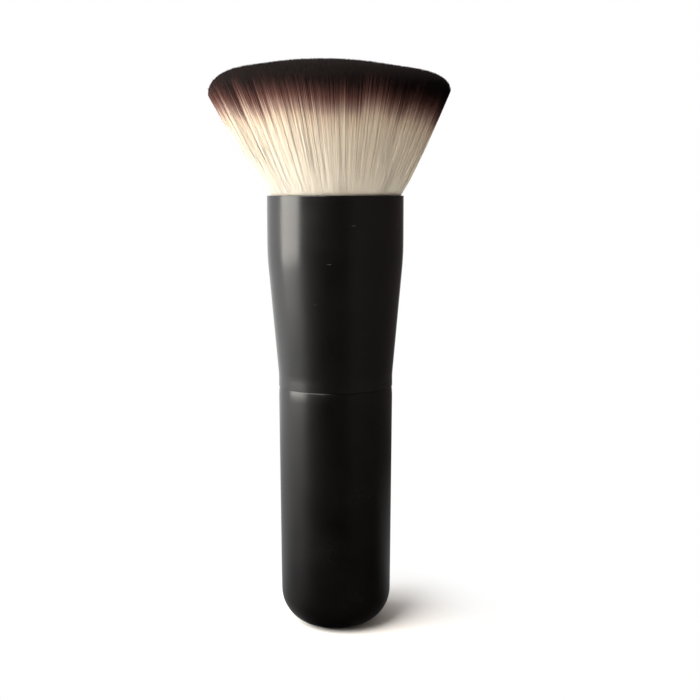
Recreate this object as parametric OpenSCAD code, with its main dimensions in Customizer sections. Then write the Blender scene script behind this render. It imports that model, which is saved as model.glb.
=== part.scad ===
// Flat-topped kabuki make-up brush, standing on the flat at the end of its handle.
// The origin is the centre of that flat and +Z runs up through the tuft. Lengths are in millimetres.

/* [Handle] */
// Length of the turned barrel, from its end flat to its shoulder
handle_l = 49.5; // [42:0.5:60]
// Diameter of the barrel just under its shoulder, and of the ferrule's skirt that sits flush with it
handle_top_d = 22.9; // [21:0.1:25]
// Diameter of the barrel where its rounded end begins
handle_low_d = 22.3; // [20:0.1:25]
// Height of the rounded end
end_round_h = 7.2; // [5:0.1:10]
// Diameter of the flat that the brush stands on
end_flat_d = 8; // [6:0.5:12]
// Height of the soft shoulder under the ferrule
shoulder_h = 2.4; // [1:0.1:4]
// How far the soft shoulder draws in
shoulder_in = 0.25; // [0.1:0.05:0.35]

/* [Ferrule] */
// Outer diameter of the ferrule at its mouth
mouth_d = 27.1; // [25:0.1:30]
// Thickness of the drawn aluminium
wall = 0.5; // [0.4:0.05:0.8]
// Length of the straight skirt over the handle's tenon
skirt_l = 2.3; // [1.6:0.1:5]
// Length of the taper from the skirt to the mouth band
taper_l = 23.8; // [18:0.2:32]
// Length of the straight band under the mouth
band_l = 11.8; // [10:0.2:16]
// Radius of the soft bend between the skirt and the taper
waist_r = 15; // [5:1:20]
// Radius of the soft bend between the taper and the mouth band
bend_r = 60; // [20:5:80]
// Rounding of the cut edge at the mouth
lip_r = 0.15; // [0.05:0.01:0.18]

/* [Tenon and glue] */
// Length of the tenon that the barrel pushes into the ferrule
tenon_l = 15; // [10:0.5:18]
// Chamfer at the tenon's end
tenon_chamfer = 1; // [0.5:0.1:2]
// Gap left for the glue between the tenon and the skirt
tenon_fit = 0.15; // [0.1:0.01:0.3]
// Length at the tenon's end that the glue leaves bare
glue_bare = 3; // [1.5:0.5:6]
// Clearance drawn between bonded pieces
bond_gap = 0.03; // [0.02:0.01:0.04]

/* [Roots] */
// Depth below the mouth at which the fibres leave the resin
root_depth = 5; // [3:0.5:7]
// Thickness of the slice of set resin that holds each layer of fibres
slice_t = 1.5; // [1:0.1:2.5]
// Length of the empty space between the tenon and the resin plug
void_l = 3; // [1:0.5:6]
// Width of the thread tied round the roots
tie_w = 4; // [2:0.5:6]
// Thickness of the wound thread
tie_t = 0.7; // [0.4:0.1:1.2]
// Height of the tie above the plug's lower face
tie_rise = 3; // [1.5:0.5:4]

/* [Tuft] */
// Diameter of the tuft at its widest
tuft_d = 48; // [40:0.5:54]
// Height of the widest tips above the mouth
tuft_rim_h = 20.8; // [16:0.2:26]
// Radius of the rounded edge round the flat top
tuft_edge_r = 3.1; // [2:0.1:5]
// Rise of the shallow dome inside the rounded edge
tuft_dome_h = 2.4; // [0:0.1:5]
// Sideways lean of the tuft at its top
tuft_lean = 1.9; // [0:0.1:3]
// How much lower the trimmed top is at its right edge than at its left
trim_slope = 0.6; // [0:0.1:2]
// Number of rings of strands round the one at the centre
ring_count = 11; // [10:1:12]
// Share of the spacing between strands that a strand's width fills
strand_fill = 0.9; // [0.6:0.02:0.92]
// Width of a strand at its tip
tip_w = 1.2; // [0.6:0.05:1.5]
// Height above the mouth at which the strands begin to spread
spread_rise = 0.2; // [0.1:0.05:0.5]
// Depth that each strand reaches into its slice of resin
sink = 0.5; // [0.2:0.1:0.8]
// Height above the mouth at which the dye begins
tone_h = 15.8; // [12:0.2:18]
// Unevenness of the line where the dye ends
tone_uneven = 2.4; // [0:0.2:4]
// Unevenness of the trimmed top
trim_uneven = 0.5; // [0:0.1:1]
// Gap between neighbouring layers of the tuft
layer_gap = 0.1; // [0.05:0.01:0.2]

/* [Hidden] */
$fn = 96;

// Number of straight steps in each rounded stretch of an outline
arc_n = 12;
// Sides of a strand
sides = 3;
// Largest turn of a strand away from facing straight out, in degrees
twist = 8;
// Shares of the rings that lie in the core, and in the core and middle layer together
core_share = 0.4;
middle_share = 0.75;
// Levels along the undyed and the dyed part of a strand
CREAM_LEVELS = ["root", "mouth", "dye"];
DYED_LEVELS = ["dye", "tip"];

// Colours
lacquer_black = "#171615";
paint_black = "#1f1e1d";
glue_amber = "#c9b98a";
resin_cream = "#d8cfb4";
thread_white = "#ece7da";
fibre_cream = "#e2d5b8";
fibre_brown = "#2f201d";

// Heights, from the end flat upwards
shoulder_z = handle_l;
skirt_z = shoulder_z + skirt_l;
band_z = skirt_z + taper_l;
mouth_z = band_z + band_l;
tenon_z = shoulder_z + tenon_l;
glue_z = tenon_z - glue_bare;
root_z = mouth_z - root_depth;
slice_z = root_z - slice_t;
plug_z = tenon_z + void_l;
tie_low_z = plug_z + tie_rise;
tie_high_z = tie_low_z + tie_w;
spread_z = mouth_z + spread_rise;

// Radii
top_r = handle_top_d / 2;
low_r = handle_low_d / 2;
flat_r = end_flat_d / 2;
mouth_r = mouth_d / 2;
tenon_r = top_r - wall - tenon_fit;

// Points of an arc of radius r that rounds the corner b between the straight runs a-b and b-c
function rounded(a, b, c, r) =
    let (
        u = (a - b) / norm(a - b),
        v = (c - b) / norm(c - b),
        half = acos(u * v) / 2,
        mid = b + (u + v) / norm(u + v) * r / sin(half),
        from = b + u * r / tan(half) - mid,
        to = b + v * r / tan(half) - mid,
        turn = 180 - 2 * half,
        side = sign(from[0] * to[1] - from[1] * to[0])
    )
    [for (i = [0 : arc_n])
        let (t = side * turn * i / arc_n)
        mid + [from[0] * cos(t) - from[1] * sin(t), from[0] * sin(t) + from[1] * cos(t)]
    ];

// Outline of the ferrule's skirt, taper and band, drawn in from the outside by the depth given
function ferrule_run(depth) =
    let (
        low = [top_r - depth, shoulder_z],
        waist = [top_r - depth, skirt_z],
        bend = [mouth_r - depth, band_z],
        high = [mouth_r - depth, mouth_z]
    )
    concat([low], rounded(low, waist, bend, waist_r), rounded(waist, bend, high, bend_r), [high]);

// Radius of the ferrule's bore at a height
bore_table = [for (p = ferrule_run(wall)) [p[1], p[0]]];
function bore_r(z) = lookup(z, bore_table);

// Outline of a piece that follows the bore between two heights, the gap given away from it
function bore_run(low, high, gap) =
    concat(
        [[bore_r(low) - gap, low]],
        [for (p = ferrule_run(wall)) if (p[1] > low && p[1] < high) [p[0] - gap, p[1]]],
        [[bore_r(high) - gap, high]]
    );

function reversed(list) = [for (i = [len(list) - 1 : -1 : 0]) list[i]];

// Rings of strands at the root, packed to fill the bore where they leave the resin
reach = cos(180 / sides - twist) / (2 * sin(180 / sides));
root_pitch = (bore_r(root_z) - bond_gap) / (ring_count + strand_fill * reach);
tip_rim_r = tuft_d / 2 - tip_w * reach;
tip_pitch = tip_rim_r / ring_count;
edge_start_r = tip_rim_r - tuft_edge_r;
tuft_top_h = tuft_rim_h + tuft_edge_r + tuft_dome_h;

// Last rings of the tuft's core and of its middle layer
core_rings = floor(ring_count * core_share);
middle_rings = floor(ring_count * middle_share);

// Strands in ring k, spaced round it about as far as the rings are apart
function ring_n(k) = k == 0 ? 1 : round(2 * PI * k);

// A steady scatter between 0 and 1 for strand j of ring k
function scatter(k, j, salt) =
    let (s = sin(k * 57.3 + j * 131.7 + salt * 23.9) * 4375.85)
    s - floor(s);

// Height above the mouth of a tip at radius r: a shallow dome with a rounded edge
function top_h(r) =
    r > edge_start_r
        ? tuft_rim_h + sqrt(max(0, tuft_edge_r ^ 2 - (r - edge_start_r) ^ 2))
        : tuft_rim_h + tuft_edge_r + tuft_dome_h * (1 - (r / edge_start_r) ^ 2);

// Direction of strand j of ring k from the axis, in degrees
function strand_around(k, j) = 360 * (j + 0.5 * (k % 2)) / ring_n(k);

// Height of a strand's tip, and of a level along it
function tip_z(k, j) =
    mouth_z + top_h(k * tip_pitch)
    - trim_slope / 2 * cos(strand_around(k, j)) * k / ring_count
    - trim_uneven * scatter(k, j, 1);
function strand_z(k, j, level) =
    level == "root" ? root_z - sink :
    level == "mouth" ? spread_z :
    level == "dye" ? mouth_z + tone_h + tone_uneven * (scatter(k, j, 2) - 0.5) :
    tip_z(k, j);

// How far a strand has spread at a level, from 0 at the mouth to 1 at its tip
function spread_at(k, j, level) =
    max(0, strand_z(k, j, level) - spread_z) / (tip_z(k, j) - spread_z);

// Spacing of the rings and width of a strand at a level
function pitch_at(k, j, level) = root_pitch + (tip_pitch - root_pitch) * spread_at(k, j, level);
function strand_w(k, j, level) = level == "tip" ? tip_w : pitch_at(k, j, level) * strand_fill;

// Corner c of strand j of ring k at a level, with one side facing out
function strand_corner(k, j, level, c) =
    let (
        z = strand_z(k, j, level),
        around = strand_around(k, j),
        out = k * pitch_at(k, j, level),
        corner = around + 360 * (c + 0.5) / sides + twist * (2 * scatter(k, j, 3) - 1),
        half = strand_w(k, j, level) / (2 * sin(180 / sides)),
        lean = tuft_lean * max(0, z - spread_z) / tuft_top_h
    )
    [out * cos(around) + half * cos(corner) - lean, out * sin(around) + half * sin(corner), z];

// Triangles of one strand whose points start at index at, over the number of levels given
function strand_faces(at, level_n) =
    concat(
        [[at, at + 1, at + 2]],
        [for (l = [0 : level_n - 2], c = [0 : sides - 1], half = [0, 1])
            let (
                low = at + l * sides + c,
                low_next = at + l * sides + (c + 1) % sides,
                high = low + sides,
                high_next = low_next + sides
            )
            half == 0 ? [low, high, high_next] : [low, high_next, low_next]
        ],
        [[at + level_n * sides - 1, at + level_n * sides - 2, at + level_n * sides - 3]]
    );

// Strands of the rings from first to last, through the levels given
module strands(first, last, levels) {
    points = [
        for (k = [first : last], j = [0 : ring_n(k) - 1], level = levels, c = [0 : sides - 1])
            strand_corner(k, j, level, c)
    ];
    faces = [
        for (at = [0 : len(levels) * sides : len(points) - 1])
            each strand_faces(at, len(levels))
    ];
    polyhedron(points, faces, convexity = 10);
}

// Slice of set resin under the rings from first to last
module root_slice(first, last) {
    in_r = first == 0 ? 0 : (first - 0.5) * root_pitch + layer_gap / 2;
    outer = last == ring_count
        ? bore_run(slice_z, root_z, bond_gap)
        : [
            [(last + 0.5) * root_pitch - layer_gap / 2, slice_z],
            [(last + 0.5) * root_pitch - layer_gap / 2, root_z]
        ];
    rotate_extrude() polygon(concat([[in_r, slice_z]], outer, [[in_r, root_z]]));
}

// One layer of the tuft: cream fibres with dyed tips, set in their slice of resin
module tuft_layer(first, last) {
    color(resin_cream) root_slice(first, last);
    color(fibre_cream) strands(first, last, CREAM_LEVELS);
    color(fibre_brown) strands(first, last, DYED_LEVELS);
}

// Turned barrel with its rounded end, soft shoulder and tenon
module handle() {
    end_curve = [
        for (i = [0 : arc_n])
            let (a = 90 * i / arc_n)
            [flat_r + (low_r - flat_r) * sin(a), end_round_h * (1 - cos(a))]
    ];
    shoulder_curve = [
        for (i = [0 : arc_n])
            let (a = 90 * i / arc_n)
            [top_r - shoulder_in * (1 - cos(a)), shoulder_z - shoulder_h * (1 - sin(a))]
    ];
    tenon = [
        [tenon_r, shoulder_z],
        [tenon_r, tenon_z - tenon_chamfer],
        [tenon_r - tenon_chamfer, tenon_z],
        [0, tenon_z]
    ];
    color(lacquer_black)
        rotate_extrude() polygon(concat([[0, 0]], end_curve, shoulder_curve, tenon));
}

// Set glue between the tenon and the ferrule
module tenon_glue() {
    outer = bore_run(shoulder_z + bond_gap, glue_z, bond_gap);
    inner_r = tenon_r + bond_gap;
    color(glue_amber)
        rotate_extrude() polygon(concat(outer, [[inner_r, glue_z], [inner_r, shoulder_z + bond_gap]]));
}

// Drawn tube that narrows from its mouth to its skirt
module ferrule() {
    outside = ferrule_run(0);
    inside = reversed(ferrule_run(wall));
    body = [for (i = [0 : len(outside) - 2]) outside[i]];
    bore = [for (i = [1 : len(inside) - 1]) inside[i]];
    outer_lip = rounded([mouth_r, band_z], [mouth_r, mouth_z], [mouth_r - wall, mouth_z], lip_r);
    inner_lip = rounded([mouth_r, mouth_z], [mouth_r - wall, mouth_z], [mouth_r - wall, band_z], lip_r);
    color(paint_black)
        rotate_extrude() polygon(concat(body, outer_lip, inner_lip, bore));
}

// Resin cast round the roots, with a neck where the thread draws them in
module root_plug() {
    below = bore_run(plug_z, tie_low_z, bond_gap);
    neck = bore_run(tie_low_z, tie_high_z, bond_gap + tie_t);
    above = bore_run(tie_high_z, slice_z, bond_gap);
    color(resin_cream)
        rotate_extrude() polygon(concat([[0, plug_z]], below, neck, above, [[0, slice_z]]));
}

// Thread wound tight round the roots
module thread_tie() {
    outer = bore_run(tie_low_z + bond_gap, tie_high_z - bond_gap, bond_gap);
    inner = reversed(bore_run(tie_low_z + bond_gap, tie_high_z - bond_gap, tie_t));
    color(thread_white)
        rotate_extrude() polygon(concat(outer, inner));
}

// Middle of the tuft
module bristles_core() {
    tuft_layer(0, core_rings);
}

// Layer between the middle and the outside of the tuft
module bristles_middle() {
    tuft_layer(core_rings + 1, middle_rings);
}

// Outside of the tuft
module bristles_outer() {
    tuft_layer(middle_rings + 1, ring_count);
}

handle();
tenon_glue();
ferrule();
root_plug();
thread_tie();
bristles_core();
bristles_middle();
bristles_outer();
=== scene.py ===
# %% [markdown]
# # A flat-topped kabuki brush
# A kabuki brush is a short make-up brush with a dense tuft. This one is three things to the eye:
# a turned wooden handle under black lacquer, a drawn aluminium ferrule under black paint, and a
# flaring tuft of synthetic fibres that are cream at the root and dyed dark at the tip.
# The handle and the ferrule are rigid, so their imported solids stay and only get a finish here.
# The tuft is made again from fine fibres, because its softness is what makes the brush a brush.

import math

import bmesh
import bpy
import numpy as np
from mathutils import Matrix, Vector


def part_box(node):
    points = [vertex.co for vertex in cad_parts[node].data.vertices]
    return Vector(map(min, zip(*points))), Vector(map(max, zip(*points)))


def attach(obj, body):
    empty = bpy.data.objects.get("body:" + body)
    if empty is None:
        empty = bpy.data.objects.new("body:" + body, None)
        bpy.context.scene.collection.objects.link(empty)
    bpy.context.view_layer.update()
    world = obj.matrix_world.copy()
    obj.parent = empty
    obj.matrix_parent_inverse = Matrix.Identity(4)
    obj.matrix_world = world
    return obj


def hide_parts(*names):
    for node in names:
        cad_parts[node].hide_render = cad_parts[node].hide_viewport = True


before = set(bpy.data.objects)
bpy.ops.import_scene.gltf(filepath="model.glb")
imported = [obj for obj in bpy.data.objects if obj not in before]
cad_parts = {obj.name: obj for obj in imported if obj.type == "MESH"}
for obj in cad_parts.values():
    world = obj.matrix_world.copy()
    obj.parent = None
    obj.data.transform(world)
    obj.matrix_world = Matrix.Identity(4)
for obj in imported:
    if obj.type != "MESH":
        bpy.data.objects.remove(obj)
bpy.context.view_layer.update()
MM = 0.001
print("packed nodes:", ", ".join(sorted(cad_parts)))

# %% [markdown]
# ## Where the pieces are
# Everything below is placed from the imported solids. The ferrule's mouth is the top of its box, the
# resin that holds the roots is the top of the plug, and the tuft's own box gives its width,
# its top and how far it leans. So the fibres stay with the solids that hold them.

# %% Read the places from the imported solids
ferrule_low, ferrule_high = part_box("ferrule")
plug_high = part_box("root_plug")[1]
tuft_low, tuft_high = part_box("bristles_outer")
core_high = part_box("bristles_core")[1]

mouth_z = ferrule_high.z
mouth_r = (ferrule_high.x - ferrule_low.x) / 2
root_z = plug_high.z
tuft_r = (tuft_high.y - tuft_low.y) / 2
tuft_lean = -(tuft_high.x + tuft_low.x) / 2
top_h = core_high.z - mouth_z
print(f"mouth {mouth_z / MM:.2f} high and {mouth_r / MM:.2f} in radius")
print(f"tuft {tuft_r / MM:.2f} in radius, {top_h / MM:.2f} tall, leaning {tuft_lean / MM:.2f}")

# %% [markdown]
# ## The camera
# The photograph was taken from about 230 mm away with the lens level with the ferrule's mouth:
# the mouth shows as a straight line, while the seam below it and the rim above it both curve.
# The camera looks down by 7.65 degrees, which puts the mouth in the upper part of the picture.
# A 59 mm lens on a 36 mm sensor gives the photograph's field of view.

# %% Place the camera
camera_distance = 230 * MM
camera_side = 2.9 * MM
camera_pitch = math.radians(7.65)
lens_mm = 59.14

camera_data = bpy.data.cameras.new("camera")
camera_data.lens = lens_mm
camera_data.sensor_width = 36
camera_data.clip_start = 0.01
camera = bpy.data.objects.new("camera", camera_data)
camera.location = (camera_side, -camera_distance, mouth_z)
camera.rotation_euler = (math.radians(90) - camera_pitch, 0, 0)
bpy.context.scene.collection.objects.link(camera)
bpy.context.scene.camera = camera
print("camera at", [round(v / MM, 1) for v in camera.location])

# %% [markdown]
# ## Helpers for materials
# Colours are written as the hex values that a paint or dye card would give, and turned to linear
# light in one place. A material is a small graph of nodes, so one function adds a node,
# sets its settings and colour stops, and fills its sockets with values or other nodes' outputs.

# %% Colour and node helpers
def linear(hex_colour):
    """An sRGB hex colour as linear red, green, blue and alpha."""
    channels = [int(hex_colour[i : i + 2], 16) / 255 for i in (1, 3, 5)]
    return [c / 12.92 if c <= 0.04045 else ((c + 0.055) / 1.055) ** 2.4 for c in channels] + [1]


def add(tree, kind, sockets=None, stops=(), **settings):
    """A new node of that kind in the tree, with its settings, colour stops and sockets filled."""
    node = tree.nodes.new(kind)
    for name, value in settings.items():
        setattr(node, name, value)
    for i, (place, colour) in enumerate(stops):
        elements = node.color_ramp.elements
        element = elements[i] if i < len(elements) else elements.new(place)
        element.position = place
        element.color = linear(colour)
    for name, value in (sockets or {}).items():
        if isinstance(value, bpy.types.NodeSocket):
            tree.links.new(value, node.inputs[name])
        else:
            node.inputs[name].default_value = value
    return node


def new_material(name):
    """An empty node material and its tree."""
    material = bpy.data.materials.new(name)
    material.use_nodes = True
    material.node_tree.nodes.clear()
    return material, material.node_tree


print("a mid grey is", round(linear("#808080")[0], 3), "in linear light")

# %% [markdown]
# ## Black satin paint on drawn aluminium
# The ferrule is drawn from aluminium tube, sprayed black and baked. Spray dries with a faint
# orange peel, about a millimetre from hump to hump, which breaks up the edge of a reflection.
# The paint is smooth enough to give one soft bright band where it mirrors a window, and its
# gloss wanders a little. A few fine scuffs from handling show as slightly paler ticks.

# %% Make the ferrule's paint
peel_mm = 1.1
gloss_patch_mm = 7
scuff_mm = 2.4

paint, tree = new_material("black_satin_paint_on_aluminium")
place = add(tree, "ShaderNodeTexCoord").outputs["Object"]
peel = add(
    tree,
    "ShaderNodeTexNoise",
    {"Vector": place, "Scale": 1 / (peel_mm * MM), "Detail": 2.0},
)
patch = add(
    tree,
    "ShaderNodeTexNoise",
    {"Vector": place, "Scale": 1 / (gloss_patch_mm * MM), "Detail": 3.0},
)
scuff_place = add(tree, "ShaderNodeMapping", {"Vector": place, "Scale": (1, 1, 4)})
scuff = add(
    tree,
    "ShaderNodeTexNoise",
    {"Vector": scuff_place.outputs[0], "Scale": 1 / (scuff_mm * MM), "Detail": 1.0},
)
scuffed = add(
    tree,
    "ShaderNodeMapRange",
    {"Value": scuff.outputs["Fac"], "From Min": 0.755, "From Max": 0.8},
)
colour = add(
    tree,
    "ShaderNodeValToRGB",
    {"Fac": patch.outputs["Fac"]},
    stops=[(0.3, "#070707"), (0.7, "#0b0a0a")],
)
colour = add(
    tree,
    "ShaderNodeMix",
    {"Factor": scuffed.outputs[0], "A": colour.outputs[0], "B": linear("#2b2a29")},
    data_type="RGBA",
)
roughness = add(
    tree,
    "ShaderNodeMapRange",
    {
        "Value": patch.outputs["Fac"],
        "From Min": 0.3,
        "From Max": 0.7,
        "To Min": 0.2,
        "To Max": 0.26,
    },
)
bump = add(
    tree,
    "ShaderNodeBump",
    {"Height": peel.outputs["Fac"], "Strength": 0.12, "Distance": 0.05 * MM},
)
shader = add(
    tree,
    "ShaderNodeBsdfPrincipled",
    {
        "Base Color": colour.outputs[2],
        "Roughness": roughness.outputs[0],
        "Normal": bump.outputs[0],
        "IOR": 1.5,
        "Specular IOR Level": 0.45,
    },
)
add(tree, "ShaderNodeOutputMaterial", {"Surface": shader.outputs[0]})
print("made", paint.name)

# %% [markdown]
# ## Black lacquer on turned wood
# The handle is turned from a close-grained wood, filled, and dipped in black lacquer that dries
# to a duller satin than the ferrule's paint. Under the lacquer the turning leaves very faint
# rings, and the wood's pores leave a fine, long grain that runs up the handle.

# %% Make the handle's lacquer
grain_mm = 0.6
grain_stretch = 14
lacquer_patch_mm = 9

lacquer, tree = new_material("black_lacquer_on_turned_wood")
place = add(tree, "ShaderNodeTexCoord").outputs["Object"]
along = add(tree, "ShaderNodeMapping", {"Vector": place, "Scale": (1, 1, 1 / grain_stretch)})
grain = add(
    tree,
    "ShaderNodeTexNoise",
    {"Vector": along.outputs[0], "Scale": 1 / (grain_mm * MM), "Detail": 4.0, "Roughness": 0.6},
)
patch = add(
    tree,
    "ShaderNodeTexNoise",
    {"Vector": place, "Scale": 1 / (lacquer_patch_mm * MM), "Detail": 3.0},
)
colour = add(
    tree,
    "ShaderNodeValToRGB",
    {"Fac": patch.outputs["Fac"]},
    stops=[(0.3, "#050404"), (0.7, "#090707")],
)
roughness = add(
    tree,
    "ShaderNodeMapRange",
    {
        "Value": patch.outputs["Fac"],
        "From Min": 0.3,
        "From Max": 0.7,
        "To Min": 0.22,
        "To Max": 0.28,
    },
)
bump = add(
    tree,
    "ShaderNodeBump",
    {"Height": grain.outputs["Fac"], "Strength": 0.1, "Distance": 0.04 * MM},
)
shader = add(
    tree,
    "ShaderNodeBsdfPrincipled",
    {
        "Base Color": colour.outputs[0],
        "Roughness": roughness.outputs[0],
        "Normal": bump.outputs[0],
        "IOR": 1.5,
        "Specular IOR Level": 0.4,
    },
)
add(tree, "ShaderNodeOutputMaterial", {"Surface": shader.outputs[0]})
print("made", lacquer.name)

# %% [markdown]
# ## What is inside: glue, resin and thread
# Nobody sees these on a whole brush, but they are pieces of it. The glue and the resin set
# clear to amber with a little cloudiness, and the tie is plain white cotton wound round the roots.

# %% Make the finishes of the hidden pieces
def set_resin(name, pale, deep, cloud_mm, low_roughness):
    """A cast resin or glue: cloudy, slightly uneven in colour, with a shiny skin."""
    material, tree = new_material(name)
    place = add(tree, "ShaderNodeTexCoord").outputs["Object"]
    cloud = add(
        tree,
        "ShaderNodeTexNoise",
        {"Vector": place, "Scale": 1 / (cloud_mm * MM), "Detail": 3.0},
    )
    colour = add(
        tree,
        "ShaderNodeValToRGB",
        {"Fac": cloud.outputs["Fac"]},
        stops=[(0.35, deep), (0.65, pale)],
    )
    roughness = add(
        tree,
        "ShaderNodeMapRange",
        {
            "Value": cloud.outputs["Fac"],
            "To Min": low_roughness,
            "To Max": low_roughness + 0.15,
        },
    )
    bump = add(
        tree,
        "ShaderNodeBump",
        {"Height": cloud.outputs["Fac"], "Strength": 0.2, "Distance": 0.1 * MM},
    )
    shader = add(
        tree,
        "ShaderNodeBsdfPrincipled",
        {
            "Base Color": colour.outputs[0],
            "Roughness": roughness.outputs[0],
            "Normal": bump.outputs[0],
            "IOR": 1.55,
        },
    )
    add(tree, "ShaderNodeOutputMaterial", {"Surface": shader.outputs[0]})
    print("made", name)
    return material


glue = set_resin("amber_wood_glue", "#cdbd8e", "#a98f57", cloud_mm=2.0, low_roughness=0.2)
resin = set_resin("cream_epoxy_resin", "#ded5ba", "#c4b48c", cloud_mm=3.0, low_roughness=0.15)

# The real turns lie about 0.35 mm apart and are drawn at 1 mm, as coarse as they need to show.
# A wave texture runs through 20 radians in each unit of its scale.
turn_mm = 1.0
wave_radians = 20

cotton, tree = new_material("white_cotton_thread")
place = add(tree, "ShaderNodeTexCoord").outputs["Object"]
turns = add(
    tree,
    "ShaderNodeTexWave",
    {"Vector": place, "Scale": 2 * math.pi / (wave_radians * turn_mm * MM), "Distortion": 0.6},
    bands_direction="Z",
)
# Painted shade: the colour follows the bump's waves, so the thread is greyer in the grooves between
# its turns.
colour = add(
    tree,
    "ShaderNodeValToRGB",
    {"Fac": turns.outputs["Fac"]},
    stops=[(0.0, "#b9b2a2"), (0.6, "#ece7da")],
)
roughness = add(
    tree, "ShaderNodeMapRange", {"Value": turns.outputs["Fac"], "To Min": 0.95, "To Max": 0.8}
)
bump = add(
    tree,
    "ShaderNodeBump",
    {"Height": turns.outputs["Fac"], "Strength": 0.6, "Distance": 0.1 * MM},
)
shader = add(
    tree,
    "ShaderNodeBsdfPrincipled",
    {
        "Base Color": colour.outputs[0],
        "Roughness": roughness.outputs[0],
        "Normal": bump.outputs[0],
    },
)
add(tree, "ShaderNodeOutputMaterial", {"Surface": shader.outputs[0]})
print("made", cotton.name)

# %% [markdown]
# ## Put the finishes on the rigid pieces
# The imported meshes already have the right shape, so each keeps its mesh and only its material
# changes. The solids come as loose triangles with an edge at every step of a rounded outline.
# Welding them and splitting only the true corners lets the light roll over the curves.

# %% Finish the rigid pieces
finishes = {
    "handle": lacquer,
    "ferrule": paint,
    "tenon_glue": glue,
    "root_plug": resin,
    "thread_tie": cotton,
}
corner_angle = math.radians(35)
weld_gap = 0.001 * MM
for node_name, material in finishes.items():
    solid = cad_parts[node_name]
    for material_slot in solid.material_slots:
        material_slot.material = material
    weld = solid.modifiers.new("weld", "WELD")
    weld.merge_threshold = weld_gap
    corners = solid.modifiers.new("corners", "EDGE_SPLIT")
    corners.split_angle = corner_angle
    print("finished", node_name, "with", material.name)

# %% [markdown]
# ## The fibres' material
# The fibres are nylon, drawn cream and dipped in dye for their last third. The dye creeps along
# each fibre a little differently, so the change from cream through mauve to near black is
# brushed into streaks. Every fibre carries two numbers for this: how far each point lies past
# the dye line, in millimetres, and a shade of its own. The colour is a ramp over the first,
# and the second makes some fibres paler and some deeper. The ramp also paints light into the
# cream: it grows paler from the dye line down to the ferrule's mouth, against the shade that
# falls on the fibres there. Bare nylon is a little cloudy, so light goes into it and comes out
# beside. The dye stops that, and its tips are cut blunt and rough.

# %% Make the fibres' material
# Painted light: the first two stops make the cream paler towards the mouth, against the shade there.
dye_and_painted_light_stops_mm = [
    (-12.6, "#f6e6ce"),
    (-3.0, "#ecd9c0"),
    (0.0, "#e6d1b8"),
    (2.0, "#cbb29c"),
    (3.2, "#9c8277"),
    (4.5, "#71534b"),
    (5.4, "#543631"),
    (6.7, "#35201d"),
    (7.9, "#1e100e"),
    (9.0, "#110a09"),
]
first_mm, last_mm = dye_and_painted_light_stops_mm[0][0], dye_and_painted_light_stops_mm[-1][0]

nylon, tree = new_material("dipped_nylon_fibre")
dye = add(tree, "ShaderNodeAttribute", attribute_name="dye_mm")
shade = add(tree, "ShaderNodeAttribute", attribute_name="shade")
dipped = add(
    tree,
    "ShaderNodeMapRange",
    {"Value": dye.outputs["Fac"], "From Min": first_mm, "From Max": last_mm},
)
colour = add(
    tree,
    "ShaderNodeValToRGB",
    {"Fac": dipped.outputs[0]},
    stops=[((mm - first_mm) / (last_mm - first_mm), tone) for mm, tone in dye_and_painted_light_stops_mm],
)
brightness = add(
    tree,
    "ShaderNodeMapRange",
    {"Value": shade.outputs["Fac"], "To Min": 0.77, "To Max": 0.93},
)
colour = add(
    tree,
    "ShaderNodeHueSaturation",
    {"Color": colour.outputs[0], "Value": brightness.outputs[0]},
)
clearness = add(
    tree,
    "ShaderNodeMapRange",
    {"Value": dye.outputs["Fac"], "From Max": 4.5, "To Min": 1.0, "To Max": 0.0},
)
bare_roughness = add(
    tree,
    "ShaderNodeMapRange",
    {"Value": shade.outputs["Fac"], "To Min": 0.45, "To Max": 0.65},
)
roughness = add(
    tree,
    "ShaderNodeMapRange",
    {
        "Value": dye.outputs["Fac"],
        "From Min": 2.7,
        "From Max": 7.2,
        "To Min": bare_roughness.outputs[0],
        "To Max": 0.85,
    },
)
shader = add(
    tree,
    "ShaderNodeBsdfPrincipled",
    {
        "Base Color": colour.outputs[0],
        "Roughness": roughness.outputs[0],
        "IOR": 1.53,
        "Specular IOR Level": 0.12,
        "Subsurface Weight": clearness.outputs[0],
        "Subsurface Radius": (1.0, 1.0, 1.0),
        "Subsurface Scale": 0.16 * MM,
    },
)
add(tree, "ShaderNodeOutputMaterial", {"Surface": shader.outputs[0]})
print("made", nylon.name)

# %% [markdown]
# ## How a fibre runs
# A real tuft holds its fibres packed upright in the ferrule. They bend outward at its mouth and
# fan to a top that was trimmed flat, with a rounded edge. Roots are laid out like sunflower
# seeds, which packs a disc evenly with no rows, and each tip takes the same place in a larger
# disc, so fibres keep their order as they spread. Fibres also cling together in locks:
# each tip is drawn a little towards the middle of its lock, and the dye reaches each lock
# at its own height.

# %% Lay out the fibres
golden_turn = math.pi * (3 - math.sqrt(5))
fuzz = 0.25 * MM
rim_r = tuft_r - fuzz
edge_w = 5.6 * MM
edge_h = 3.2 * MM
dome_h = 2.2 * MM
lock_count = 420
lock_dye_spread = 0.65 * MM
lock_shade_spread = 0.2
rng = np.random.default_rng(11)


def seed_layout(inner, outer, count):
    """Radius shares and angles of points spread over a ring as seeds are in a sunflower."""
    order = np.arange(count) + 0.5
    share = np.sqrt(inner**2 + (outer**2 - inner**2) * order / count)
    return share, golden_turn * np.arange(count)


def trimmed_height(radius):
    """Height of the trimmed top above the mouth: a shallow dome with a rounded edge."""
    start = rim_r - edge_w
    past = np.clip((radius - start) / edge_w, 0, 1)
    dome = top_h - dome_h * (radius / start) ** 2
    edge = top_h - dome_h - edge_h + edge_h * np.sqrt(1 - past**2)
    return np.where(radius < start, dome, edge)


lock_share, lock_angle = seed_layout(0, 1, lock_count)
lock_places = np.c_[lock_share * np.cos(lock_angle), lock_share * np.sin(lock_angle)]
lock_dye = rng.normal(0, lock_dye_spread, lock_count)
lock_shade = rng.normal(0, lock_shade_spread, lock_count)
print("locks:", lock_count)

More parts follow.
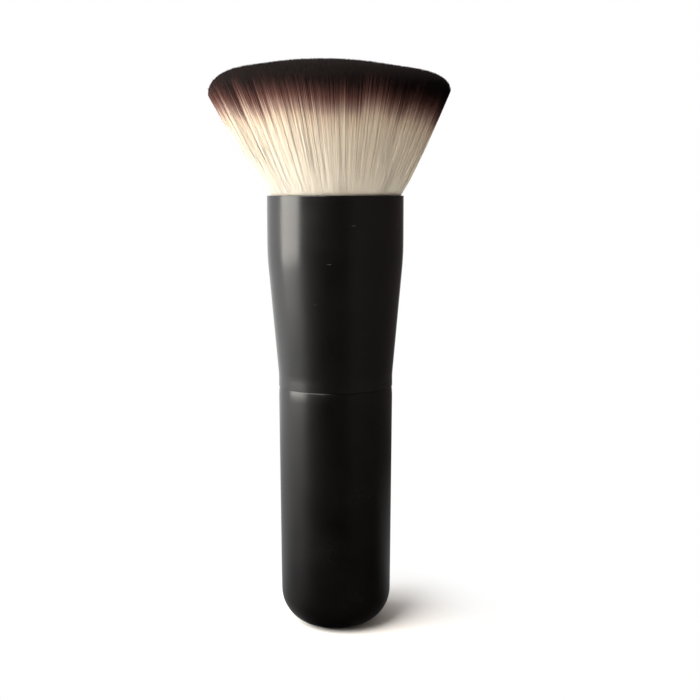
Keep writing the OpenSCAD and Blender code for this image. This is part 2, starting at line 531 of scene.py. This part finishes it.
# %% [markdown]
# ## One fibre, many times
# A fibre is a curve with a three-sided section that keeps its width and closes to a point at
# both ends. Three sides are enough for something as wide as a pixel, and smooth shading makes
# them look round. A curve object can hold thousands of such strands and turn them into one mesh
# in one go, which is far quicker than copying a mesh for each.

# %% Draw the section of a fibre
section = bpy.data.curves.new("fibre_section", "CURVE")
section.dimensions = "2D"
corner = section.splines.new("POLY")
corner.points.add(2)
for i, point in enumerate(corner.points):
    turn = -i * 2 * math.pi / 3
    point.co = (MM * math.cos(turn), MM * math.sin(turn), 0, 1)
corner.use_cyclic_u = True
section_object = bpy.data.objects.new("fibre_section", section)
print("section with", len(corner.points), "corners")

# %% [markdown]
# ## What keeps the fibres from being ruled lines
# Hands and use leave a tuft a little uneven: the trimmed top slopes, its edge wears, fibres bow
# and a few stand proud, and the dye creeps further up some than others. Each of these could be
# modelled by hand, but a spread in millimetres for each is shorter and easy to judge, and
# one seeded generator draws them all, so every run gives the same brush.

# %% Set how uneven the tuft is
# Shares of a fibre's free length, from the ferrule's mouth to its tip. The widths start one point
# sooner, at the root, and the first and the last of them bring the fibre to a point.
stations = np.array([0.0, 0.16, 0.45, 0.75, 0.98, 1.0])
thickness = np.array([0.0, 1.0, 1.0, 1.0, 1.0, 0.85, 0.0])

# The roots fill the ferrule's bore, and the tips keep their places to within a small shift.
ferrule_wall = 0.5 * MM
root_gap = 0.12 * MM
root_shift = 0.003
tip_shift = 0.004
lock_pull = 0.04
fan_power = 0.9
wave_h = 0.03 * MM

# The top is a little lower at the right, and its edge is worn rounder at the left.
trim_slope = 0.6 * MM
trim_spread = 0.16 * MM
left_wear = 1.5 * MM
wear_power = 6
loose_share = 0.02
loose_spread = 0.18 * MM
loose_most = 0.5 * MM

# The dark band reaches lower towards the right, the side away from the window, and stays about level
# from the middle to the left.
dye_h = 12.4 * MM
dark_band_slope = 1.1 * MM
dark_band_sag = 0.8 * MM
fibre_dye_spread = 0.5 * MM
middle_shade = 0.6
fibre_shade_spread = 0.1
print("dye begins", round(dye_h / MM, 1), "mm above the mouth")

# %% [markdown]
# ## Where each fibre goes
# A fibre starts in the resin, stands straight up to the mouth, and leans out from there to its
# place in the trimmed top. Small random shifts keep it from being a ruler's line, and a few
# fibres at the rim stand a little proud, as they do on any brush that has been used. All the
# fibres of a layer are worked out at once, as arrays with one row for each, because that is quick.

# %% Work out the paths
def fibre_paths(inner, outer, count):
    """Points of each fibre from root to tip, how far each lies past the dye line, and a shade."""
    share, angle = seed_layout(inner, outer, count)
    flat = np.c_[share * np.cos(angle), share * np.sin(angle)]
    flat += rng.normal(0, root_shift, flat.shape)
    flat /= np.maximum(1, np.hypot(flat[:, 0], flat[:, 1]))[:, None]
    lock = ((flat[:, None] - lock_places[None]) ** 2).sum(2).argmin(1)
    tip = flat + lock_pull * (lock_places[lock] - flat) + rng.normal(0, tip_shift, flat.shape)
    tip /= np.maximum(1, np.hypot(tip[:, 0], tip[:, 1]))[:, None]
    side = tip[:, 0]
    height = trimmed_height(np.hypot(tip[:, 0], tip[:, 1]) * rim_r) - trim_slope / 2 * side
    height -= left_wear * np.clip(-side, 0, 1) ** wear_power
    height -= rng.exponential(trim_spread, count)
    loose = (rng.random(count) < loose_share) * rng.exponential(loose_spread, count)
    root = flat * (mouth_r - ferrule_wall - root_gap)
    tip = tip * (rim_r + np.minimum(loose, loose_most))[:, None]
    wave = rng.normal(0, wave_h, (count, len(stations), 2))
    rows = [np.c_[root, np.full(count, root_z)]]
    for i, t in enumerate(stations):
        spread = t**fan_power
        place = root * (1 - spread) + tip * spread + wave[:, i] * min(1, 3 * t)
        lean = tuft_lean * t * height / top_h
        rows.append(np.c_[place[:, 0] - lean, place[:, 1], mouth_z + t * height])
    points = np.stack(rows, 1)
    dye = points[:, :, 2] - mouth_z - dye_h
    dye += (dark_band_slope * side + dark_band_sag * side**2 + lock_dye[lock])[:, None]
    dye += rng.normal(0, fibre_dye_spread, (count, 1))
    shade = middle_shade + lock_shade[lock] + rng.normal(0, fibre_shade_spread, count)
    return points, dye / MM, np.clip(shade, 0, 1)


print("each fibre has", len(thickness), "points")

# %% [markdown]
# ## Shading a fibre as part of the tuft
# Lit fibre by fibre, a tuft drawn with coarse strands looks like wire. Real fibres scatter light
# between them, and the tuft takes the light as one soft form. So each point's normal is turned
# part of the way to that of the whole: out from the flank, or up from the trimmed top at a tip.

# %% Soften the shading
flank_slope = 0.5
softness = 0.7
probe = 0.1 * MM


def unit(vectors):
    """The vectors, each made one long."""
    return vectors / np.linalg.norm(vectors, axis=1)[:, None]


def soften(mesh):
    """Turns the shading of a layer's fibres part of the way to that of the tuft as a whole."""
    count = len(mesh.vertices)
    place, own, tip = (np.empty(count * n, np.float32) for n in (3, 3, 1))
    mesh.vertices.foreach_get("co", place)
    mesh.vertex_normals.foreach_get("vector", own)
    mesh.attributes["tip"].data.foreach_get("value", tip)
    place, own = place.reshape(-1, 3), own.reshape(-1, 3)
    rise = (place[:, 2] - mouth_z) / top_h
    out = np.c_[place[:, 0] + tuft_lean * rise, place[:, 1]]
    radius = np.maximum(np.hypot(out[:, 0], out[:, 1]), probe)
    out /= radius[:, None]
    flank = np.c_[out, np.full(count, -flank_slope)]
    fall = (trimmed_height(radius - probe) - trimmed_height(radius)) / probe
    top = np.c_[out * fall[:, None], np.ones(count)]
    whole = np.where(tip[:, None] > 0.5, unit(top), unit(flank))
    mixed = unit(own * (1 - softness) + whole * softness)
    mesh.normals_split_custom_set_from_vertices(mixed.tolist())
    mesh.attributes.remove(mesh.attributes["tip"])


print("normals go", softness, "of the way to the tuft's own")

# %% [markdown]
# ## Draw the fibres as one curve
# Each fibre becomes one strand of a curve, with its width and its tilt at every point, and the
# curve is turned into a mesh. The section is turned so that a flat side faces out, which lets
# neighbours lie together like shingles and leaves no deep gaps between them.

# %% Draw strands
flat_side_out = math.radians(32)


def draw_strands(name, points, radius_mm):
    """The fibres drawn as strands of one curve and turned into a mesh, still open at their ends."""
    count, steps = points.shape[:2]
    curve = bpy.data.curves.new(name, "CURVE")
    curve.dimensions = "3D"
    curve.bevel_mode = "OBJECT"
    curve.bevel_object = section_object
    placed = np.concatenate([points, np.ones((count, steps, 1))], 2).astype(np.float32)
    width = (thickness * radius_mm).astype(np.float32)
    tilt = np.full(steps, flat_side_out, np.float32)
    for strand in placed:
        spline = curve.splines.new("POLY")
        spline.points.add(steps - 1)
        spline.points.foreach_set("co", strand.ravel())
        spline.points.foreach_set("radius", width)
        spline.points.foreach_set("tilt", tilt)
    rope = bpy.data.objects.new(name, curve)
    bpy.context.scene.collection.objects.link(rope)
    evaluated = rope.evaluated_get(bpy.context.evaluated_depsgraph_get())
    drawn = bpy.data.meshes.new_from_object(evaluated)
    bpy.data.objects.remove(rope)
    return drawn


print("flat sides turned by", round(math.degrees(flat_side_out)), "degrees")

# %% [markdown]
# ## Close the fibres into a mesh
# A strand's section shrinks to nothing at both ends, so three points lie in one place there.
# bmesh merges them, which closes the fibre. The merging distance is far below the gap between
# neighbours, so no two fibres are joined. The dye, the shade and the tips are written down
# point by point before that, while the points are still in order.

# %% Make a mesh of fibres
end_gap = 0.00001 * MM


def fibres(name, inner, outer, count, radius_mm):
    """A closed mesh of fibres between two shares of the tuft's radius."""
    points, dye, shade = fibre_paths(inner, outer, count)
    steps = points.shape[1]
    drawn = draw_strands(name, points, radius_mm)
    sides = len(drawn.vertices) // (count * steps)
    at_tip = np.tile(np.arange(steps) >= steps - 2, (count, 1))
    shades = np.repeat(shade[:, None], steps, 1)
    for attribute, values in (("dye_mm", dye), ("shade", shades), ("tip", at_tip)):
        layer = drawn.attributes.new(attribute, "FLOAT", "POINT")
        layer.data.foreach_set("value", np.repeat(values.ravel(), sides).astype(np.float32))
    drawn.materials.clear()

    weld = bmesh.new()
    weld.from_mesh(drawn)
    bmesh.ops.remove_doubles(weld, verts=weld.verts, dist=end_gap)
    for face in weld.faces:
        face.smooth = True
    volume = weld.calc_volume(signed=True)
    open_edges = sum(1 for edge in weld.edges if not edge.is_manifold)
    mesh = bpy.data.meshes.new(name)
    weld.to_mesh(mesh)
    weld.free()
    mesh.materials.append(nylon)
    soften(mesh)
    piece = bpy.data.objects.new(name, mesh)
    bpy.context.scene.collection.objects.link(piece)
    triangles = sum(len(polygon.vertices) - 2 for polygon in mesh.polygons)
    print(name, count, "fibres,", triangles, "triangles,", open_edges, "open edges,", volume > 0)
    return piece


print("points closer than", end_gap / MM, "mm are merged")

# %% [markdown]
# ## The tuft in layers
# The solids hold the tuft as a core, a middle and an outer layer. One layer of fibres takes the
# place of the core, one of the middle, and four of the outer. Only the tips of the inner fibres
# show, so they are fewer and thicker. The outside is what the eye rests on, so its fibres are the
# finest and most closely set. Real fibres are 0.07 to 0.1 mm thick, too fine to show one by one
# at this size. They are drawn coarser, with flat sides from 0.1 mm wide at the outside to
# 0.24 mm in the core, and fewer, so that strands show.

# %% Make the layers and put them in place of the solids
# Name, inner and outer share of the radius, number of fibres, reach of a corner from the middle
# of the section in mm, and the solid that the layer stands for.
layers = [
    ("core_fibres", 0.0, 0.41, 2400, 0.14, "bristles_core"),
    ("middle_fibres", 0.41, 0.77, 5400, 0.13, "bristles_middle"),
    ("outer_fibres", 0.77, 0.9, 5600, 0.11, "bristles_outer"),
    ("under_fibres", 0.9, 0.95, 5600, 0.08, "bristles_outer"),
    ("near_surface_fibres", 0.95, 0.978, 6200, 0.065, "bristles_outer"),
    ("surface_fibres", 0.978, 1.0, 6200, 0.06, "bristles_outer"),
]
for name, inner, outer, count, radius_mm, stands_for in layers:
    piece = fibres(name, inner, outer, count, radius_mm)
    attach(piece, "root")
    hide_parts(stands_for)
bpy.data.objects.remove(section_object)

# %% [markdown]
# ## What the black mirrors
# Black paint and lacquer show little but what they mirror, so the surroundings are set by their
# bearing round the brush. A studio has a white wall on the window's side, a pale one behind,
# dark cloth round the camera, and a dim warm wall on the right. The same ramp serves the floor and
# the room, because the lower half of every reflection in an upright brush is floor.

# %% Describe the surroundings by bearing
wall_level = 1.7


def surroundings(tree, direction):
    """Colour found at a bearing; the ramp runs from the back by way of the left."""
    across = add(tree, "ShaderNodeSeparateXYZ", {"Vector": direction})
    ahead = add(tree, "ShaderNodeMath", {0: across.outputs["Y"], 1: -1.0}, operation="MULTIPLY")
    bearing = add(
        tree,
        "ShaderNodeMath",
        {0: across.outputs["X"], 1: ahead.outputs[0]},
        operation="ARCTAN2",
    )
    turn = add(
        tree,
        "ShaderNodeMapRange",
        {"Value": bearing.outputs[0], "From Min": -math.pi, "From Max": math.pi},
    )
    around = add(
        tree,
        "ShaderNodeValToRGB",
        {"Fac": turn.outputs[0]},
        stops=[
            (0.0, "#d0d0d0"),
            (0.12, "#d0d0d0"),
            (0.2, "#ffffff"),
            (0.3, "#ffffff"),
            (0.37, "#8a8a8a"),
            (0.42, "#4a4a4a"),
            (0.46, "#161616"),
            (0.54, "#161616"),
            (0.6, "#5a5453"),
            (0.8, "#4a4442"),
            (0.94, "#4a4442"),
            (0.985, "#d0d0d0"),
        ],
    )
    return around.outputs[0]


print("reflections are lit at", wall_level, "on the window's side")

# %% [markdown]
# ## The floor
# The brush stands on a plain pale floor that keeps the soft shadow under its foot. A few
# centimetres out it runs into the white behind it, as a sweep of studio paper does. In
# reflections the floor takes no light from the lamps but glows: a painted reflection in the
# surroundings' colours, painted dim at the foot and brighter further out. A pool of light painted
# on the floor just behind the brush comes back as the thin pale rim low on the handle.

# %% Make the floor
floor_size = 6.0
floor_drop = 0.02 * MM
near_r = 8 * MM
far_r = 38 * MM
foot_level = 0.15
bright_r = 250 * MM
glow_near_r = 40 * MM
glow_far_r = 150 * MM
glow_level = 0.25
glow_front_y = -10 * MM
glow_back_y = 30 * MM

floor_mesh = bpy.data.meshes.new("floor")
plan = bmesh.new()
bmesh.ops.create_grid(plan, x_segments=1, y_segments=1, size=floor_size / 2)
bmesh.ops.translate(plan, verts=plan.verts, vec=(0, 0, -floor_drop))
plan.to_mesh(floor_mesh)
plan.free()
floor = bpy.data.objects.new("floor", floor_mesh)
bpy.context.scene.collection.objects.link(floor)

pale, tree = new_material("pale_floor")
place = add(tree, "ShaderNodeTexCoord").outputs["Object"]
across = add(tree, "ShaderNodeSeparateXYZ", {"Vector": place})
distance = add(tree, "ShaderNodeVectorMath", {0: place}, operation="LENGTH")
fade = add(
    tree,
    "ShaderNodeMapRange",
    {"Value": distance.outputs["Value"], "From Min": near_r, "From Max": far_r},
    interpolation_type="SMOOTHSTEP",
)
rays = add(tree, "ShaderNodeLightPath")
seen = add(
    tree,
    "ShaderNodeMath",
    {0: fade.outputs[0], 1: rays.outputs["Is Camera Ray"]},
    operation="MULTIPLY",
)
# Painted light: a pool of light painted on the floor just behind the brush, seen only in
# reflections.
glow = add(
    tree,
    "ShaderNodeMapRange",
    {
        "Value": distance.outputs["Value"],
        "From Min": glow_near_r,
        "From Max": glow_far_r,
        "To Min": glow_level,
        "To Max": 0.0,
    },
)
behind = add(
    tree,
    "ShaderNodeMapRange",
    {"Value": across.outputs["Y"], "From Min": glow_front_y, "From Max": glow_back_y},
    interpolation_type="SMOOTHSTEP",
)
glowing = add(
    tree,
    "ShaderNodeMath",
    {0: glow.outputs[0], 1: behind.outputs[0]},
    operation="MULTIPLY",
)
# Painted shade: in reflections the floor is dim at the foot and rises to the walls' level further
# out.
rise = add(
    tree,
    "ShaderNodeMapRange",
    {
        "Value": distance.outputs["Value"],
        "From Max": bright_r,
        "To Min": foot_level,
        "To Max": wall_level,
    },
)
far = add(
    tree,
    "ShaderNodeEmission",
    {"Color": surroundings(tree, place), "Strength": rise.outputs[0]},
)
shining = add(tree, "ShaderNodeEmission", {"Strength": glowing.outputs[0]})
mirror = add(tree, "ShaderNodeAddShader", {0: far.outputs[0], 1: shining.outputs[0]})
matt = add(tree, "ShaderNodeBsdfDiffuse", {"Color": linear("#f4f4f3")})
white = add(tree, "ShaderNodeEmission", {"Color": (1, 1, 1, 1), "Strength": 1.0})
near = add(
    tree,
    "ShaderNodeMixShader",
    {0: seen.outputs[0], 1: matt.outputs[0], 2: white.outputs[0]},
)
mirrored = add(
    tree,
    "ShaderNodeMath",
    {0: rays.outputs["Is Glossy Ray"], 1: rays.outputs["Is Transmission Ray"]},
    operation="MAXIMUM",
)
mixed = add(
    tree,
    "ShaderNodeMixShader",
    {0: mirrored.outputs[0], 1: near.outputs[0], 2: mirror.outputs[0]},
)
add(tree, "ShaderNodeOutputMaterial", {"Surface": mixed.outputs[0]})
floor_mesh.materials.append(pale)
print("floor of", floor_size, "m, white from", far_r / MM, "mm out")

# %% [markdown]
# ## The light
# A window close on the left does the work. Its reflection is the bright band on the black, and
# it lights the fibres from one side, so they run from near white at the left to tan at the right.
# A softbox high at the front left opens up the front and the top of the tuft. Both are area
# lamps that face the ferrule's mouth, so one function makes them.

# %% Light the brush
def area_lamp(name, place, width, height, power, hex_colour):
    """An area lamp at a place, facing the ferrule's mouth."""
    light = bpy.data.lights.new(name, "AREA")
    light.shape = "RECTANGLE"
    light.size = width
    light.size_y = height
    light.energy = power
    light.color = linear(hex_colour)[:3]
    lamp = bpy.data.objects.new(name, light)
    lamp.location = place
    lamp.rotation_euler = (Vector((0, 0, mouth_z)) - place).to_track_quat("-Z", "Y").to_euler()
    bpy.context.scene.collection.objects.link(lamp)
    print(name, "of", power, "W")


window_place = Vector((-0.37, -0.06, mouth_z + 0.07))
softbox_place = Vector((-0.33, -0.35, mouth_z + 0.38))
area_lamp("window", window_place, width=0.27, height=0.3, power=1.9, hex_colour="#fffaf2")
area_lamp("softbox", softbox_place, width=0.45, height=0.45, power=7.8, hex_colour="#fff9f2")

# %% [markdown]
# ## The room
# The world does three jobs here, told apart by the kind of ray that meets it. The camera sees
# plain white behind the brush. Soft light from all round fills the shadows, a little warm because
# it has been off walls and wood. Reflections find the surroundings described above.

# %% Light the room
room_level = 0.3

world = bpy.data.worlds.new("room")
world.use_nodes = True
tree = world.node_tree
tree.nodes.clear()
rays = add(tree, "ShaderNodeLightPath")
direction = add(tree, "ShaderNodeTexCoord").outputs["Generated"]
dim_room = add(tree, "ShaderNodeBackground", {"Color": linear("#fff2e6"), "Strength": room_level})
backdrop = add(
    tree,
    "ShaderNodeBackground",
    {"Color": surroundings(tree, direction), "Strength": wall_level},
)
white = add(tree, "ShaderNodeBackground", {"Color": (1, 1, 1, 1), "Strength": 1.0})
mirrored = add(
    tree,
    "ShaderNodeMath",
    {0: rays.outputs["Is Glossy Ray"], 1: rays.outputs["Is Transmission Ray"]},
    operation="MAXIMUM",
)
shining = add(
    tree,
    "ShaderNodeMixShader",
    {0: mirrored.outputs[0], 1: dim_room.outputs[0], 2: backdrop.outputs[0]},
)
seen = add(
    tree,
    "ShaderNodeMixShader",
    {0: rays.outputs["Is Camera Ray"], 1: shining.outputs[0], 2: white.outputs[0]},
)
add(tree, "ShaderNodeOutputWorld", {"Surface": seen.outputs[0]})
bpy.context.scene.world = world
bpy.context.scene.view_settings.view_transform = "Standard"
print("room at", room_level)
